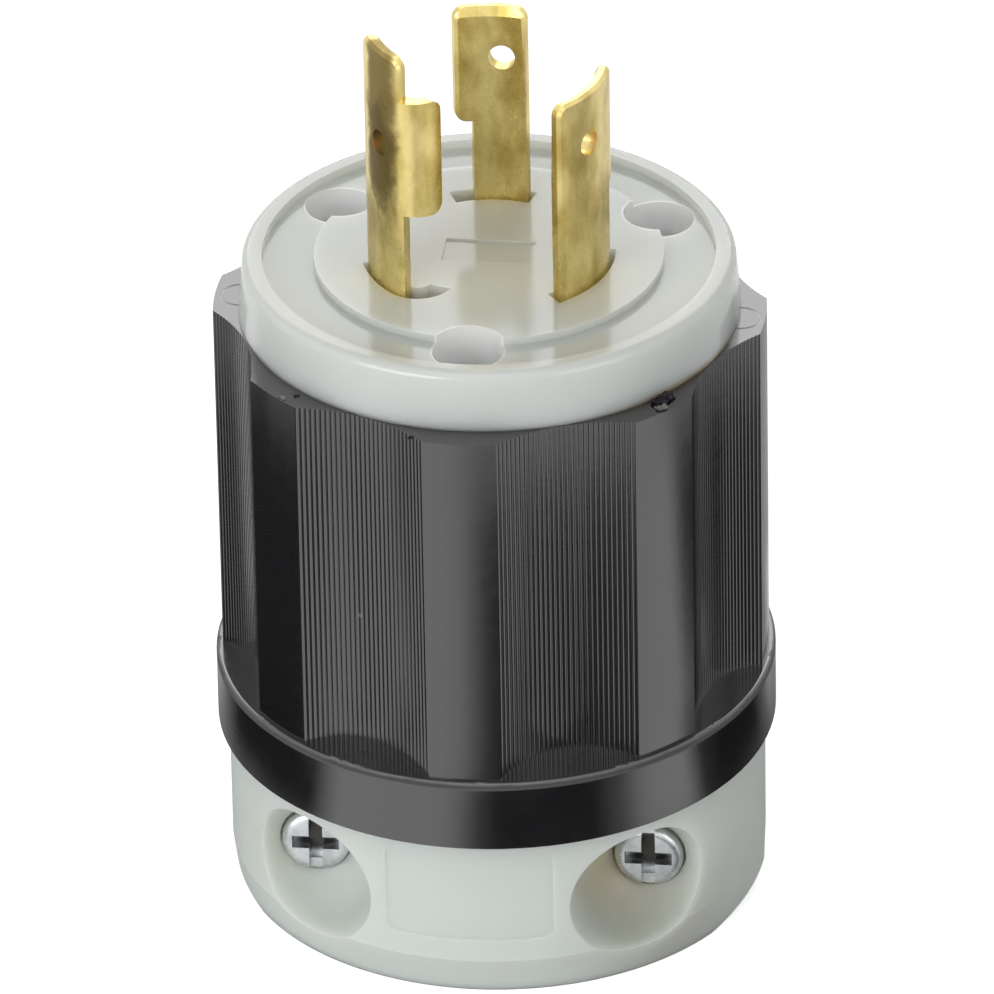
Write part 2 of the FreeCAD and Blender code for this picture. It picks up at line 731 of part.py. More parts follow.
# Wedge that cuts the foot of the wall back on one side, along a circle that leans inwards
def taper(title, side, start):
    past = 0.25  # share of the height by which the lean runs on past both ends
    rings = []
    for part, place in (("low", -past), ("high", 1 + past)):
        ring = doc.addObject("Part::Circle", f"{title}_{part}")
        bind(ring, Radius="base_radius", Placement_Base_z=f"taper_up * {place}",
             Placement_Base_y=f"{side} * taper_in * {1 - place}")
        rings.append(ring)
    lean = doc.addObject("Part::Loft", title + "_lean")
    lean.Sections = rings
    lean.Solid = True
    lean.Ruled = True
    around = cylinder(title + "_around", "base_radius + taper_in", f"taper_up * {1 + past}",
                      f"-taper_up * {past / 2}", angle="180", start=start)
    return cut(title, around, lean)


# Sliding jaw: a yoke with two arms that hold the nuts and a toothed bar behind the cord
def cord_clamp_jaw():
    body = new_body("cord_clamp_jaw")
    low = "(clamp_axis_height - jaw_height / 2)"
    high = "(clamp_axis_height + jaw_height / 2)"
    plan = new_sketch(body, "jaw_plan", "XY_Plane", low)
    arm = "(clamp_spacing / 2 + jaw_arm_width / 2)"
    inner = "cord_bore_radius"
    front = "(cord_bore_radius - jaw_arm_length)"
    back = "(cord_bore_radius + jaw_bar_depth)"
    outline(plan, [
        ("-" + arm, front),
        ("-" + inner, front),
        ("-" + inner, "cord_bore_radius"),
        ("0", "cord_bore_radius + jaw_hollow"),
        (inner, "cord_bore_radius"),
        (inner, front),
        (arm, front),
        (arm, "cord_bore_radius"),
        (inner, back),
        ("-" + inner, back),
        ("-" + arm, "cord_bore_radius")])
    pad(body, plan, "jaw_height")
    nuts = new_sketch(body, "jaw_nut_slots", "XY_Plane", high)
    half = "(nut_width / 2 + seat_gap)"
    near = "(cord_bore_radius - nut_depth - seat_gap)"
    far = "(cord_bore_radius + seat_gap)"
    for side in ("-", ""):
        middle = f"{side}clamp_spacing / 2"
        box_outline(nuts, f"{middle} - {half}", f"{middle} + {half}", near, far)
    pocket(body, nuts, f"jaw_height / 2 + {half}")
    bores = new_sketch(body, "jaw_bores", "XZ_Plane", "0")
    for side in ("-", ""):
        circle(bores, side + "clamp_spacing / 2", "clamp_axis_height", "clamp_bolt_radius + pass_gap")
    pocket(body, bores, "base_radius")
    teeth = new_sketch(body, "jaw_teeth", "YZ_Plane", "-cord_bore_radius")
    for k in (-1, 0, 1):
        centre = f"(clamp_axis_height + {k} * jaw_height / 4)"
        outline(teeth, [
            ("cord_bore_radius", f"{centre} - jaw_tooth"),
            ("cord_bore_radius + jaw_tooth_depth", centre),
            ("cord_bore_radius", f"{centre} + jaw_tooth")])
    pocket(body, teeth, "2 * cord_bore_radius", reverse=True)
    return body


def clamp_nut(title, side):
    blank = doc.addObject("Part::Box", title + "_blank")
    bind(blank, Length="nut_width", Width="nut_depth", Height="nut_width",
         Placement_Base_x=f"{side} * clamp_spacing / 2 - nut_width / 2",
         Placement_Base_y="cord_bore_radius - nut_depth",
         Placement_Base_z="clamp_axis_height - nut_width / 2")
    thread = cylinder(title + "_thread", "clamp_bolt_radius + thread_gap", "nut_depth * 3")
    thread.Placement.Rotation = FreeCAD.Rotation(X_AXIS, 90)
    bind(thread, Placement_Base_x=f"{side} * clamp_spacing / 2",
         Placement_Base_y="cord_bore_radius + nut_depth", Placement_Base_z="clamp_axis_height")
    return cut(title, blank, thread)


def clamp_screw(title, side):
    body = screw_body(title, "clamp_bolt_radius", "clamp_bolt_length", "clamp_head_radius",
                      "clamp_head_height")
    body.Placement.Rotation = FreeCAD.Rotation(X_AXIS, 90)
    return bind(body, Placement_Base_x=side + " * clamp_spacing / 2", Placement_Base_y="-clamp_seat",
                Placement_Base_z="clamp_axis_height")


parts = {
    "grip_housing": grip_housing(),
    "blade_face": blade_face(),
    "cord_end": cord_end(),
    "cord_clamp_jaw": cord_clamp_jaw(),
    "terminal_body": terminal_body(),
    "ground_blade": ground_blade(),
    "line_blade_1": line_blade("line_1", "line_blade_1"),
    "line_blade_2": line_blade("line_2", "line_blade_2"),
}
for name, word in (("line_1", "line_{}_1"), ("line_2", "line_{}_2"), ("ground", "ground_{}")):
    plate_name = word.format("clamp_plate")
    screw_name = word.format("terminal_screw")
    parts[plate_name] = clamp_plate(name, plate_name)
    parts[screw_name] = terminal_screw(name, screw_name)
for k in range(3):
    title = f"assembly_screw_{k + 1}"
    parts[title] = assembly_screw(title, f"(assembly_angle + {120 * k})")
for k, side in enumerate(("-1", "1"), 1):
    parts[f"clamp_nut_{k}"] = clamp_nut(f"clamp_nut_{k}", side)
    parts[f"clamp_screw_{k}"] = clamp_screw(f"clamp_screw_{k}", side)

doc.recompute()
for item in doc.Objects:
    if "Invalid" in item.State or "Error" in item.State:
        raise RuntimeError(f"{item.Name} failed: {item.State}")
for name, item in parts.items():
    item.Label = name
    if item.Shape.isNull() or not item.Shape.isValid():
        raise RuntimeError(f"{name} has no valid shape")
    item.Shape.exportStep(f"parts/{name}.step")
    print(name, len(item.Shape.Solids), round(item.Shape.Volume, 1))
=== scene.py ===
import math

import bpy
from mathutils import Matrix, Vector


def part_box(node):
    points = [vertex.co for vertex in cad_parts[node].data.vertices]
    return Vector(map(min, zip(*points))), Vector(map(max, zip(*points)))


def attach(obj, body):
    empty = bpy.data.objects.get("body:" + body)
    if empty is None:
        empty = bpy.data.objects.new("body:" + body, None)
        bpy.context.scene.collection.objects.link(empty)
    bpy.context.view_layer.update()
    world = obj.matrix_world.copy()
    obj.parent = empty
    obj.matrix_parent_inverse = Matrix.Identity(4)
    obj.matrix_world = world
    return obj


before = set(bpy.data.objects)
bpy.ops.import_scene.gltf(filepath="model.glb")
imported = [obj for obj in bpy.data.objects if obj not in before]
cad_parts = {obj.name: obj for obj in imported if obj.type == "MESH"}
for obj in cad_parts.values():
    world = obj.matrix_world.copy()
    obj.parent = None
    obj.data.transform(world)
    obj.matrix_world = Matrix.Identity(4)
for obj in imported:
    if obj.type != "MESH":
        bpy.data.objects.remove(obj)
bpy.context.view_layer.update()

mm = 0.001
scene = bpy.context.scene
white = (1.0, 1.0, 1.0, 1.0)
bumpDepth = 0.02 * mm  # height of the unevenness that each material has
wholeWidth = 90.0 * mm  # wider than the plug, for a patch that is a level band all round


def inMm(*values):
    return tuple(value * mm for value in values)


def srgb(red, green, blue, alpha=1.0):
    # A colour as a photo editor shows it, turned into the linear value that a shader takes
    def linear(value):
        value = value / 255
        return value / 12.92 if value <= 0.04045 else ((value + 0.055) / 1.055) ** 2.4
    return (linear(red), linear(green), linear(blue), alpha)


def newGroup(name, inputs, outputs):
    # Shader node group with named sockets; returns it with its input and output nodes
    group = bpy.data.node_groups.new(name, "ShaderNodeTree")
    kinds = {"value": "NodeSocketFloat", "colour": "NodeSocketColor", "vector": "NodeSocketVector"}
    for socketName, kind, default in inputs:
        socket = group.interface.new_socket(socketName, in_out="INPUT", socket_type=kinds[kind])
        socket.default_value = default
    for socketName, kind in outputs:
        group.interface.new_socket(socketName, in_out="OUTPUT", socket_type=kinds[kind])
    return group, group.nodes.new("NodeGroupInput"), group.nodes.new("NodeGroupOutput")


def addNode(tree, kind, **settings):
    # A setting whose name starts with in_ goes to the input socket of that name
    node = tree.nodes.new(kind)
    for key, value in settings.items():
        if key.startswith("in_"):
            node.inputs[key[3:].replace("_", " ")].default_value = value
        else:
            setattr(node, key, value)
    return node


def maths(tree, operation, first, second=None, third=None, clamp=False):
    # Math node between sockets or numbers; returns its result socket
    node = tree.nodes.new("ShaderNodeMath")
    node.operation = operation
    node.use_clamp = clamp
    for index, value in enumerate((first, second, third)):
        if value is None:
            continue
        if isinstance(value, (int, float)):
            node.inputs[index].default_value = value
        else:
            tree.links.new(value, node.inputs[index])
    return node.outputs[0]


def mixColours(tree, factor, first, second):
    # Mix node between two colours, each a socket or a colour; returns its result socket
    node = tree.nodes.new("ShaderNodeMix")
    node.data_type = "RGBA"
    for index, value in ((0, factor), (6, first), (7, second)):  # factor and the two colours
        if hasattr(value, "node"):
            tree.links.new(value, node.inputs[index])
        else:
            node.inputs[index].default_value = value
    return node.outputs[2]


groupLook = {
    # a mottle layer is its output, its factor on the scale and its detail
    "layers": (("Slow", 1.0, 3.0), ("Fine", 11.0, 2.0)), "roughness": 0.55, "patchDetail": 4.0,
    # a pin mark reaches less up and down than across
    "grooveStretch": (1.0, 1.0, 9.0),
}


def makeMottleGroup():
    # Slow and fine unevenness of a surface, both about 0.5
    group, start, end = newGroup("surfaceMottle", [
        ("Scale", "value", 100.0), ("Stretch", "vector", (1.0, 1.0, 1.0))],
        [("Slow", "value"), ("Fine", "value")])
    place = addNode(group, "ShaderNodeTexCoord")
    stretch = addNode(group, "ShaderNodeVectorMath", operation="MULTIPLY")
    group.links.new(place.outputs["Object"], stretch.inputs[0])
    group.links.new(start.outputs["Stretch"], stretch.inputs[1])
    for output, factor, detail in groupLook["layers"]:
        noise = addNode(group, "ShaderNodeTexNoise", in_Detail=detail,
                        in_Roughness=groupLook["roughness"])
        scale = maths(group, "MULTIPLY", start.outputs["Scale"], factor)
        group.links.new(stretch.outputs[0], noise.inputs["Vector"])
        group.links.new(scale, noise.inputs["Scale"])
        group.links.new(noise.outputs["Fac"], end.inputs[output])
    return group


def makeSpeckGroup():
    # Sparse small specks: 1 in a speck and 0 elsewhere
    group, start, end = newGroup("sparseSpecks", [
        ("Scale", "value", 300.0), ("Size", "value", 0.12), ("Rarity", "value", 0.9)],
        [("Mask", "value")])
    place = addNode(group, "ShaderNodeTexCoord")
    cells = addNode(group, "ShaderNodeTexVoronoi")
    group.links.new(place.outputs["Object"], cells.inputs["Vector"])
    group.links.new(start.outputs["Scale"], cells.inputs["Scale"])
    inside = maths(group, "LESS_THAN", cells.outputs["Distance"], start.outputs["Size"])
    parts = addNode(group, "ShaderNodeSeparateColor")
    group.links.new(cells.outputs["Color"], parts.inputs[0])
    chosen = maths(group, "GREATER_THAN", parts.outputs[0], start.outputs["Rarity"])
    group.links.new(maths(group, "MULTIPLY", inside, chosen), end.inputs["Mask"])
    return group


def makePatchGroup():
    # Mask of one ragged-edged patch: 1 at its centre and 0 beyond its radii
    group, start, end = newGroup("softPatch", [
        ("Centre", "vector", (0.0, 0.0, 0.0)), ("Radii", "vector", (0.01, 0.01, 0.01)),
        ("Ragged", "value", 0.2), ("Grain", "value", 400.0), ("Core", "value", 0.35)],
        [("Mask", "value")])
    place = addNode(group, "ShaderNodeTexCoord")
    shift = addNode(group, "ShaderNodeVectorMath", operation="SUBTRACT")
    share = addNode(group, "ShaderNodeVectorMath", operation="DIVIDE")
    reach = addNode(group, "ShaderNodeVectorMath", operation="LENGTH")
    group.links.new(place.outputs["Object"], shift.inputs[0])
    group.links.new(start.outputs["Centre"], shift.inputs[1])
    group.links.new(shift.outputs[0], share.inputs[0])
    group.links.new(start.outputs["Radii"], share.inputs[1])
    group.links.new(share.outputs[0], reach.inputs[0])
    noise = addNode(group, "ShaderNodeTexNoise", in_Detail=groupLook["patchDetail"])
    group.links.new(place.outputs["Object"], noise.inputs["Vector"])
    group.links.new(start.outputs["Grain"], noise.inputs["Scale"])
    wander = maths(group, "MULTIPLY", maths(group, "SUBTRACT", noise.outputs["Fac"], 0.5),
                   start.outputs["Ragged"])
    edge = addNode(group, "ShaderNodeMapRange", interpolation_type="SMOOTHSTEP", in_From_Max=1.0,
                   in_To_Min=1.0, in_To_Max=0.0)
    group.links.new(start.outputs["Core"], edge.inputs["From Min"])
    group.links.new(maths(group, "ADD", reach.outputs["Value"], wander), edge.inputs["Value"])
    group.links.new(edge.outputs[0], end.inputs["Mask"])
    return group


def makeRingGroup():
    # Mask of a thin round groove in a level surface: 1 on the groove's line
    group, start, end = newGroup("roundGroove", [
        ("Centre", "vector", (0.0, 0.0, 0.0)), ("Radius", "value", 0.002),
        ("Line", "value", 0.0001)],
        [("Mask", "value")])
    place = addNode(group, "ShaderNodeTexCoord")
    shift = addNode(group, "ShaderNodeVectorMath", operation="SUBTRACT")
    flatten = addNode(group, "ShaderNodeVectorMath", operation="MULTIPLY")
    flatten.inputs[1].default_value = groupLook["grooveStretch"]
    reach = addNode(group, "ShaderNodeVectorMath", operation="LENGTH")
    group.links.new(place.outputs["Object"], shift.inputs[0])
    group.links.new(start.outputs["Centre"], shift.inputs[1])
    group.links.new(shift.outputs[0], flatten.inputs[0])
    group.links.new(flatten.outputs[0], reach.inputs[0])
    off = maths(group, "ABSOLUTE", maths(group, "SUBTRACT", reach.outputs["Value"],
                                         start.outputs["Radius"]))
    share = maths(group, "DIVIDE", off, start.outputs["Line"])
    group.links.new(maths(group, "SUBTRACT", 1.0, share, clamp=True), end.inputs["Mask"])
    return group


mottleGroup = makeMottleGroup()
speckGroup = makeSpeckGroup()
patchGroup = makePatchGroup()
ringGroup = makeRingGroup()


def useGroup(tree, group, **values):
    node = tree.nodes.new("ShaderNodeGroup")
    node.node_tree = group
    for key, value in values.items():
        node.inputs[key].default_value = value
    return node


def newMaterial(name):
    material = bpy.data.materials.new(name)
    material.use_nodes = True
    tree = material.node_tree
    shader = tree.nodes["Principled BSDF"]
    return material, tree, shader


def setShader(shader, **values):
    for key, value in values.items():
        shader.inputs[key.replace("_", " ")].default_value = value


def addBump(tree, shader, height, strength, distance):
    bump = addNode(tree, "ShaderNodeBump", in_Strength=strength, in_Distance=distance)
    tree.links.new(height, bump.inputs["Height"])
    tree.links.new(bump.outputs["Normal"], shader.inputs["Normal"])


def unevenRoughness(tree, mottle, values):
    return maths(tree, "MULTIPLY_ADD", mottle.outputs["Fine"], values["roughSpread"],
                 values["roughness"])


def makeWhiteNylon(name, values):
    material, tree, shader = newMaterial(name)
    mottle = useGroup(tree, mottleGroup, Scale=values["mottleScale"])
    base = mixColours(tree, mottle.outputs["Slow"], values["colour"], values["colourWarm"])
    specks = useGroup(tree, speckGroup, Scale=values["speckScale"], Size=values["speckSize"],
                      Rarity=values["speckRarity"])
    colour = mixColours(tree, specks.outputs["Mask"], base, values["speckColour"])
    # stains, patches of painted light and patches of painted shade are mixed into the colour
    for centre, radii, patchColour, strength, core in values["stainsAndPaintedLight"]:
        patch = useGroup(tree, patchGroup, Centre=centre, Radii=radii, Ragged=values["ragged"],
                         Grain=values["patchGrain"], Core=core)
        amount = maths(tree, "MULTIPLY", patch.outputs["Mask"], strength)
        colour = mixColours(tree, amount, colour, patchColour)
    tree.links.new(colour, shader.inputs["Base Color"])
    rough = unevenRoughness(tree, mottle, values)
    tree.links.new(rough, shader.inputs["Roughness"])
    addBump(tree, shader, mottle.outputs["Fine"], values["bump"], bumpDepth)
    setShader(shader, Subsurface_Weight=values["subsurface"],
              Subsurface_Radius=values["subsurfaceTint"], Subsurface_Scale=values["depth"])
    return material


whiteNylonShared = {
    "speckColour": srgb(120, 112, 98), "speckSize": 0.1, "speckRarity": 0.985, "patchGrain": 260.0,
    "subsurface": 1.0, "subsurfaceTint": (1.0, 0.95, 0.85),
}
wellLook = {
    "circle": 16.6 * mm, "angles": (30, 150, 270), "middle": 62.0 * mm, "radius": 3.45 * mm,
    "reach": 30.0 * mm, "colour": srgb(250, 252, 250), "strength": 1.0, "core": 0.93,
}


def wellPaintedLight(values):
    # Painted light down in the face's three screw wells: a paler colour that stands in for light
    # coming through the nylon
    stainsAndPaintedLight = []
    for angle in values["angles"]:
        around = math.radians(angle)
        centre = (values["circle"] * math.cos(around), values["circle"] * math.sin(around),
                  values["middle"])
        radii = (values["radius"], values["radius"], values["reach"])
        stainsAndPaintedLight.append((centre, radii, values["colour"], values["strength"], values["core"]))
    return stainsAndPaintedLight


# each stain, each patch of painted light and each patch of painted shade is its centre, its radii,
# its colour, its strength and the share of its radii that is full
faceNylonLook = {
    **whiteNylonShared,
    "colour": srgb(214, 220, 218), "colourWarm": srgb(208, 211, 205), "mottleScale": 45.0,
    "speckScale": 260.0, "roughness": 0.1, "roughSpread": 0.08, "bump": 0.12, "depth": 5.0 * mm,
    "ragged": 0.06,
    # grime along the lower edge of the skirt, most of it at the right, then painted light in the
    # three screw wells
    "stainsAndPaintedLight": [
        (inMm(0.0, 0.0, 58.8), (wholeWidth, wholeWidth, 0.75 * mm), srgb(186, 168, 134), 0.3, 0.2),
        (inMm(20.0, -11.0, 58.8), inMm(14.0, 14.0, 0.9), srgb(190, 158, 104), 0.75, 0.3),
    ] + wellPaintedLight(wellLook),
}
cordEndNylonLook = {
    **whiteNylonShared,
    # the colour is lighter than the face nylon's, though both are the same nylon: painted light on
    # the cord end's sides
    "colour": srgb(221, 229, 226), "colourWarm": srgb(216, 221, 213), "mottleScale": 40.0,
    "speckScale": 240.0, "roughness": 0.28, "roughSpread": 0.12, "bump": 0.2, "depth": 4.0 * mm,
    "ragged": 0.3,
    # painted warm shade in the left scoop and the right one, by the clamp screws, and painted shade
    # low on the right side
    "stainsAndPaintedLight": [
        (inMm(-17.0, -14.5, 9.5), inMm(7.6, 7.6, 7.0), srgb(200, 178, 128), 0.2, 0.0),
        (inMm(13.0, -14.5, 8.6), inMm(7.6, 7.6, 7.0), srgb(200, 178, 128), 0.75, 0.0),
        # painted shade: the lower right of the cord end is made greyer, as it gets less light there
        (inMm(19.0, -15.0, 1.5), inMm(18.0, 18.0, 11.0), srgb(176, 176, 166), 0.6, 0.0),
    ],
}
blackNylonLook = {
    "colour": srgb(17, 16, 19), "colourWorn": srgb(25, 24, 27), "roughness": 0.1,
    "roughSpread": 0.1, "mottleScale": 70.0, "bump": 0.3, "ior": 1.7, "specular": 0.92,
    "dustScale": 520.0, "dustSize": 0.11, "dustRarity": 0.99, "dustColour": srgb(96, 94, 92),
    # marks of the ejector pins on the tops of two ridges, each a groove whose line is painted dark
    # as painted shade
    "pinMarks": [inMm(22.55, -0.55, 58.9), inMm(-22.4, -0.2, 58.9)],
    "pinRadius": 1.85 * mm, "pinLine": 0.13 * mm, "pinDepth": 6.0, "pinShadeColour": srgb(6, 6, 7),
    # the flange's upper edge is scuffed dull
    "edgeHeight": 23.72 * mm, "edgeBand": 0.43 * mm, "edgeDull": 0.8,
    "edgePatch": {"Ragged": 0.2, "Grain": 300.0, "Core": 0.3},
}
metalShared = {
    "mottleScale": 420.0, "stretch": (1.0, 1.0, 1.0), "wornFrom": 0.38, "wornTo": 0.66,
    "patchGrain": 500.0, "stainCore": 0.6, "stainRough": 0.3,
}
# a metal's stain is its centre, its radii, its colour and its strength
brassLook = {
    **metalShared,
    "colour": srgb(240, 219, 146), "colourWorn": srgb(198, 174, 98), "roughness": 0.22,
    "roughSpread": 0.14, "stretch": (1.0, 1.0, 0.5), "bump": 0.03, "ragged": 0.9, "dulling": 0.25,
    # tarnish on the outside of the hooked blade, then the walls of two blade holes
    "stainsAndPaintedLight": [
        (inMm(-8.8, -6.7, 82.5), inMm(2.9, 2.9, 13.0), srgb(126, 106, 50), 0.8),
        (inMm(-8.8, -6.7, 77.4), inMm(2.7, 2.7, 6.4), srgb(96, 80, 38), 0.65),
        (inMm(-8.89, -6.48, 78.75), inMm(1.3, 1.3, 1.3), srgb(196, 118, 56), 0.8),
        (inMm(9.87, -4.86, 78.73), inMm(1.3, 1.3, 1.3), srgb(214, 158, 84), 0.6),
    ],
}
zincLook = {
    **metalShared,
    "colour": srgb(224, 228, 230), "colourWorn": srgb(190, 194, 196), "roughness": 0.2,
    "roughSpread": 0.2, "bump": 0.3, "ragged": 0.3, "dulling": 0.6, "stainsAndPaintedLight": [],
}
greenLook = dict(zincLook, colour=srgb(60, 130, 75), colourWorn=srgb(40, 100, 55))
insulatorLook = dict(cordEndNylonLook, colour=srgb(190, 184, 168), colourWarm=srgb(180, 172, 152),
                     stainsAndPaintedLight=[])
recessLook = {"depth": 1.5 * mm, "radii": inMm(2.35, 1.2, 2.35), "colour": srgb(52, 46, 38),
              "strength": 0.92}


def recessDarkening(values):
    # Darker brown down in the recesses of the two clamp screws, whose heads face -Y
    stainsAndPaintedLight = []
    for nodeName in ("clamp_screw_1", "clamp_screw_2"):
        low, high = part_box(nodeName)
        centre = ((low[0] + high[0]) / 2, low[1] + values["depth"], (low[2] + high[2]) / 2)
        stainsAndPaintedLight.append((centre, values["radii"], values["colour"], values["strength"]))
    return stainsAndPaintedLight


clampScrewLook = dict(zincLook, stainsAndPaintedLight=recessDarkening(recessLook))


def makeBlackNylon(name, values):
    material, tree, shader = newMaterial(name)
    mottle = useGroup(tree, mottleGroup, Scale=values["mottleScale"])
    colour = mixColours(tree, mottle.outputs["Slow"], values["colour"], values["colourWorn"])
    dust = useGroup(tree, speckGroup, Scale=values["dustScale"], Size=values["dustSize"],
                    Rarity=values["dustRarity"])
    colour = mixColours(tree, dust.outputs["Mask"], colour, values["dustColour"])
    height = mottle.outputs["Fine"]
    for centre in values["pinMarks"]:
        # painted shade along each pin mark's groove line, which also dips in the bump
        ring = useGroup(tree, ringGroup, Centre=centre, Radius=values["pinRadius"],
                        Line=values["pinLine"])
        colour = mixColours(tree, ring.outputs["Mask"], colour, values["pinShadeColour"])
        dip = maths(tree, "MULTIPLY", ring.outputs["Mask"], values["pinDepth"])
        height = maths(tree, "SUBTRACT", height, dip)
    tree.links.new(colour, shader.inputs["Base Color"])
    rough = unevenRoughness(tree, mottle, values)
    edge = useGroup(tree, patchGroup, Centre=(0.0, 0.0, values["edgeHeight"]),
                    Radii=(wholeWidth, wholeWidth, values["edgeBand"]), **values["edgePatch"])
    scuff = maths(tree, "MULTIPLY", edge.outputs["Mask"], values["edgeDull"])
    rough = maths(tree, "ADD", rough, scuff)
    tree.links.new(rough, shader.inputs["Roughness"])
    addBump(tree, shader, height, values["bump"], bumpDepth)
    setShader(shader, IOR=values["ior"], Specular_IOR_Level=values["specular"])
    return material


def makeMetal(name, values):
    material, tree, shader = newMaterial(name)
    mottle = useGroup(tree, mottleGroup, Scale=values["mottleScale"], Stretch=values["stretch"])
    spread = addNode(tree, "ShaderNodeMapRange", in_From_Min=values["wornFrom"],
                     in_From_Max=values["wornTo"])
    tree.links.new(mottle.outputs["Slow"], spread.inputs["Value"])
    colour = mixColours(tree, spread.outputs[0], values["colour"], values["colourWorn"])
    rough = unevenRoughness(tree, mottle, values)
    shader.inputs["Metallic"].default_value = 1.0
    grime = None
    for centre, radii, patchColour, strength in values["stainsAndPaintedLight"]:
        patch = useGroup(tree, patchGroup, Centre=centre, Radii=radii, Ragged=values["ragged"],
                         Grain=values["patchGrain"], Core=values["stainCore"])
        amount = maths(tree, "MULTIPLY", patch.outputs["Mask"], strength)
        colour = mixColours(tree, amount, colour, patchColour)
        grime = maths(tree, "MAXIMUM", grime, amount) if grime else amount
    if grime:
        # grime takes the metal's shine away
        shine = maths(tree, "MULTIPLY_ADD", grime, -values["dulling"], 1.0)
        tree.links.new(shine, shader.inputs["Metallic"])
        coarser = maths(tree, "MULTIPLY", grime, values["stainRough"])
        rough = maths(tree, "ADD", rough, coarser, clamp=True)
    tree.links.new(colour, shader.inputs["Base Color"])
    tree.links.new(rough, shader.inputs["Roughness"])
    addBump(tree, shader, mottle.outputs["Fine"], values["bump"], bumpDepth)
    return material


faceNylon = makeWhiteNylon("face_nylon", faceNylonLook)
cordEndNylon = makeWhiteNylon("cord_end_nylon", cordEndNylonLook)
blackNylon = makeBlackNylon("black_nylon", blackNylonLook)
brass = makeMetal("brass", brassLook)
zinc = makeMetal("zinc_plate", zincLook)
clampScrewZinc = makeMetal("clamp_screw_zinc", clampScrewLook)
greenPlate = makeMetal("green_plate", greenLook)
insulator = makeWhiteNylon("insulator", insulatorLook)
print("materials made")

nodeFinish = {
    "grip_housing": blackNylon, "blade_face": faceNylon, "cord_end": cordEndNylon,
    "terminal_body": insulator, "cord_clamp_jaw": insulator, "ground_blade": brass,
    "line_blade_1": brass, "line_blade_2": brass, "line_clamp_plate_1": brass,
    "line_clamp_plate_2": brass, "ground_clamp_plate": brass, "line_terminal_screw_1": brass,
    "line_terminal_screw_2": zinc, "ground_terminal_screw": greenPlate, "assembly_screw_1": zinc,
    "assembly_screw_2": zinc, "assembly_screw_3": zinc, "clamp_screw_1": clampScrewZinc,
    "clamp_screw_2": clampScrewZinc, "clamp_nut_1": zinc, "clamp_nut_2": zinc,
}
for nodeName, material in nodeFinish.items():
    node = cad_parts[nodeName]
    node.data.materials.clear()
    node.data.materials.append(material)

chipLook = {
    # name: place on the top of the ridge, size, turn about Z, height of the ragged top, finish
    "edge_burr": (inMm(17.1, -15.6), inMm(1.9, 0.9), 52.0, 0.36 * mm, "dark"),
    "edge_burr_tip": (inMm(17.15, -16.9), inMm(0.95, 0.6), 25.0, 0.2 * mm, "bright"),
    "ridge_chip": (inMm(-16.4, -18.0), inMm(0.75, 0.4), -30.0, 0.12 * mm, "bright"),
    "ridge_nick": (inMm(-15.2, -17.6), inMm(0.5, 0.35), 15.0, 0.1 * mm, "dark"),
    "front_chip": (inMm(-4.3, -23.9), inMm(0.45, 0.3), 60.0, 0.1 * mm, "dark"),
}
chipShared = {
    "base": 58.9 * mm, "sink": 0.05 * mm, "cuts": 4, "ragged": 0.6, "uniform": 0.8, "outward": 0.2,
    "mottleScale": 900.0, "bump": 0.4, "bumpDepth": 0.03 * mm, "roughness": 0.55, "specular": 0.3,
    "colours": {"dark": srgb(42, 32, 48), "bright": srgb(168, 166, 162)},
}


def makeChip(name, values, place, spread, turn, height, finish):
    # Torn flake of the moulding: a thin slab with a ragged outline and top
    bpy.ops.object.select_all(action="DESELECT")
    middle = values["base"] + height / 2 - values["sink"]
    bpy.ops.mesh.primitive_cube_add(size=1, location=(place[0], place[1], middle),
                                    rotation=(0, 0, math.radians(turn)),
                                    scale=(spread[0], spread[1], height))
    chip = bpy.context.object
    chip.name = name
    bpy.ops.object.transform_apply(location=True, rotation=True, scale=True)
    bpy.ops.object.mode_set(mode="EDIT")
    bpy.ops.mesh.select_all(action="SELECT")
    bpy.ops.mesh.subdivide(number_cuts=values["cuts"])
    bpy.ops.transform.vertex_random(offset=height * values["ragged"], uniform=values["uniform"],
                                    normal=values["outward"], seed=len(name))
    bpy.ops.object.mode_set(mode="OBJECT")
    material, tree, shader = newMaterial(name + "_nylon")
    mottle = useGroup(tree, mottleGroup, Scale=values["mottleScale"])
    tint = mixColours(tree, mottle.outputs["Slow"], values["colours"][finish],
                      blackNylonLook["colour"])
    tree.links.new(tint, shader.inputs["Base Color"])
    addBump(tree, shader, mottle.outputs["Fine"], values["bump"], values["bumpDepth"])
    setShader(shader, Roughness=values["roughness"], Specular_IOR_Level=values["specular"])
    chip.data.materials.append(material)
    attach(chip, "plug")


for chipName, (place, spread, turn, height, finish) in chipLook.items():
    makeChip(chipName, chipShared, place, spread, turn, height, finish)
print("chips on the grip's top edge made")

# azimuth, elevation and roll in degrees; distance and aim in mm; focal length in pixels
cameraPlace = {"azimuth": 277.0, "elevation": 30.806, "distance": 1190.2, "roll": -1.057,
               "aim": (0.3215, 0.0, 38.82), "focal": 13187.2, "pixels": 994, "sensor": 36.0,
               "near": 0.05, "far": 20.0}


def placeCamera(values):
    turn = Matrix.Rotation(math.radians(values["azimuth"] - 270), 4, "Z")
    rise = math.radians(values["elevation"])
    back = Vector((0, -math.cos(rise), math.sin(rise)))
    right = Vector((1, 0, 0))
    up = back.cross(right)
    place = Vector(values["aim"]) * mm + back * values["distance"] * mm
    camera = bpy.data.objects.new("camera", bpy.data.cameras.new("camera"))
    scene.collection.objects.link(camera)
    axes = Matrix((right, up, back)).transposed().to_4x4()
    roll = Matrix.Rotation(math.radians(values["roll"]), 4, "Z")
    camera.matrix_world = turn @ Matrix.Translation(place) @ axes @ roll
    camera.data.sensor_width = values["sensor"]
    camera.data.lens = values["focal"] / values["pixels"] * values["sensor"]
    camera.data.clip_start = values["near"]
    camera.data.clip_end = values["far"]
    scene.camera = camera


